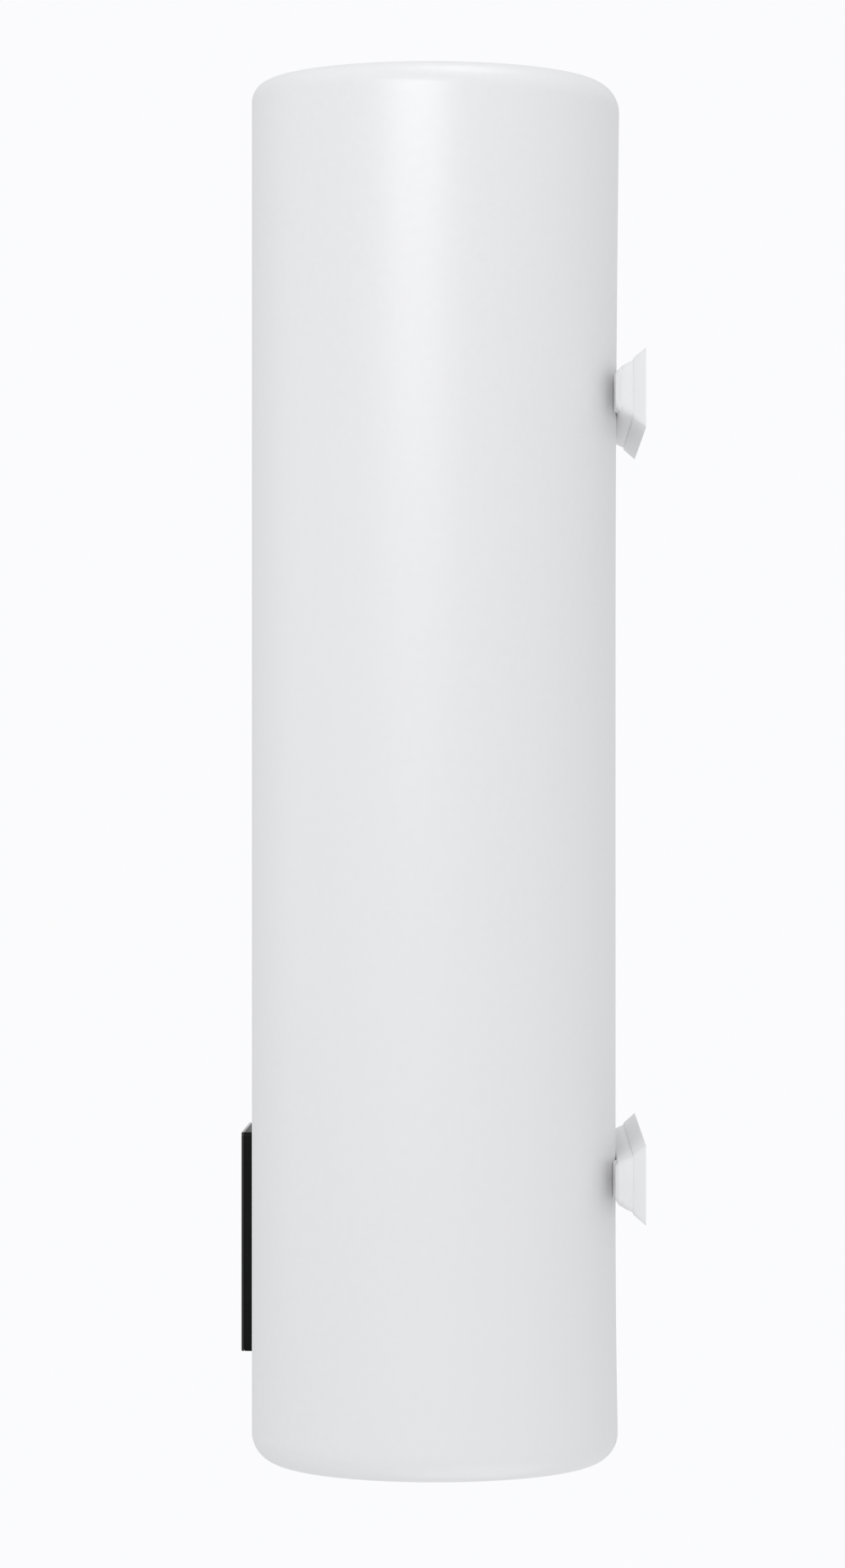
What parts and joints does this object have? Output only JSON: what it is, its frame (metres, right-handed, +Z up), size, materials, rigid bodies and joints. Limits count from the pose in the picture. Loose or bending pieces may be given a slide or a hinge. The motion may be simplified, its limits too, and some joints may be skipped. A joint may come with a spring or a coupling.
{
  "type": "tank water heater",
  "caption": "Flat electric storage water heater that hangs on a wall: twin enamelled tanks in a white steel casing with round sides, a black glass control panel and pressed wall brackets.",
  "frame": {"origin": "middle of the upper bracket's top rim edge, in the plane of the wall", "axes": "+Z up, +Y into the wall, so the control panel faces -Y; +X is on the right of someone facing the panel"},
  "size_m": [0.493, 0.323, 1.098],
  "materials": {
    "casing_white": "satin powder coat",
    "bracket_white": "satin powder coat",
    "white_plastic": "fine moulded texture",
    "black_plastic": "fine moulded texture",
    "black_glass": "polished, printed black behind",
    "grey_plastic": "moulded",
    "foam": "foamed in place",
    "tank_enamel": "glossy enamel",
    "bare_steel": "plain rolled steel",
    "zinc_steel": "bright zinc plate",
    "copper": "drawn copper sheath",
    "magnesium": "cast rod",
    "black_rubber": "moulded",
    "hot_red": "moulded",
    "cold_blue": "moulded",
    "button_red": "moulded",
    "circuit_board": "solder mask",
    "grey_cable": "cable sheath",
    "earth_cable": "cable sheath"
  },
  "bodies": {
    "heater": {"casing_shell": "casing_white", "top_cap": "casing_white", "upper_bracket": "bracket_white", "lower_bracket": "bracket_white", "bottom_cap": "white_plastic", "gland_well": "white_plastic", "hot_standpipe": "white_plastic", "cold_diffuser": "white_plastic", "upper_hook_plate": "zinc_steel", "lower_hook_plate": "zinc_steel", "hot_nipple": "zinc_steel", "cold_nipple": "zinc_steel", "upper_bracket_bolt_left": "zinc_steel", "upper_bracket_bolt_right": "zinc_steel", "upper_tank_strap": "bare_steel", "lower_bracket_bolt_left": "zinc_steel", "lower_bracket_bolt_right": "zinc_steel", "lower_tank_strap": "bare_steel", "foam_insulation": "foam", "panel_housing": "black_plastic", "cable_gland": "black_plastic", "left_relay": "black_plastic", "right_relay": "black_plastic", "panel_glass": "black_glass", "display_board": "circuit_board", "power_board": "circuit_board", "display_cable": "grey_cable", "supply_lead": "grey_cable", "left_element_lead": "grey_cable", "right_element_lead": "grey_cable", "earth_lead": "earth_cable", "transfer_pipe": "bare_steel", "hot_collar": "hot_red", "cold_collar": "cold_blue", "terminal_block": "grey_plastic", "left_tank": "tank_enamel", "left_flange": "bare_steel", "left_gasket": "black_rubber", "left_heating_element": "copper", "left_anode": "magnesium", "left_thermostat": "grey_plastic", "left_flange_nut_1": "zinc_steel", "left_flange_nut_2": "zinc_steel", "left_flange_nut_3": "zinc_steel", "left_flange_nut_4": "zinc_steel", "right_tank": "tank_enamel", "right_flange": "bare_steel", "right_gasket": "black_rubber", "right_heating_element": "copper", "right_anode": "magnesium", "right_thermostat": "grey_plastic", "right_flange_nut_1": "zinc_steel", "right_flange_nut_2": "zinc_steel", "right_flange_nut_3": "zinc_steel", "right_flange_nut_4": "zinc_steel"},
    "cover": {"service_cover": "white_plastic", "cover_screw_1": "zinc_steel", "cover_screw_2": "zinc_steel"},
    "left_button": {"left_reset_button": "button_red"},
    "right_button": {"right_reset_button": "button_red"}
  },
  "joints": [
    {"name": "cover_slide", "type": "slide", "parent": "heater", "child": "cover", "axis": [0, 0, -1], "range_m": [0, 0.15]},
    {"name": "left_reset_press", "type": "slide", "parent": "heater", "child": "left_button", "axis": [0, 0, 1], "range_m": [0, 0.0015], "stiffness_N_per_m": 900},
    {"name": "right_reset_press", "type": "slide", "parent": "heater", "child": "right_button", "axis": [0, 0, 1], "range_m": [0, 0.0015], "stiffness_N_per_m": 900}
  ]
}
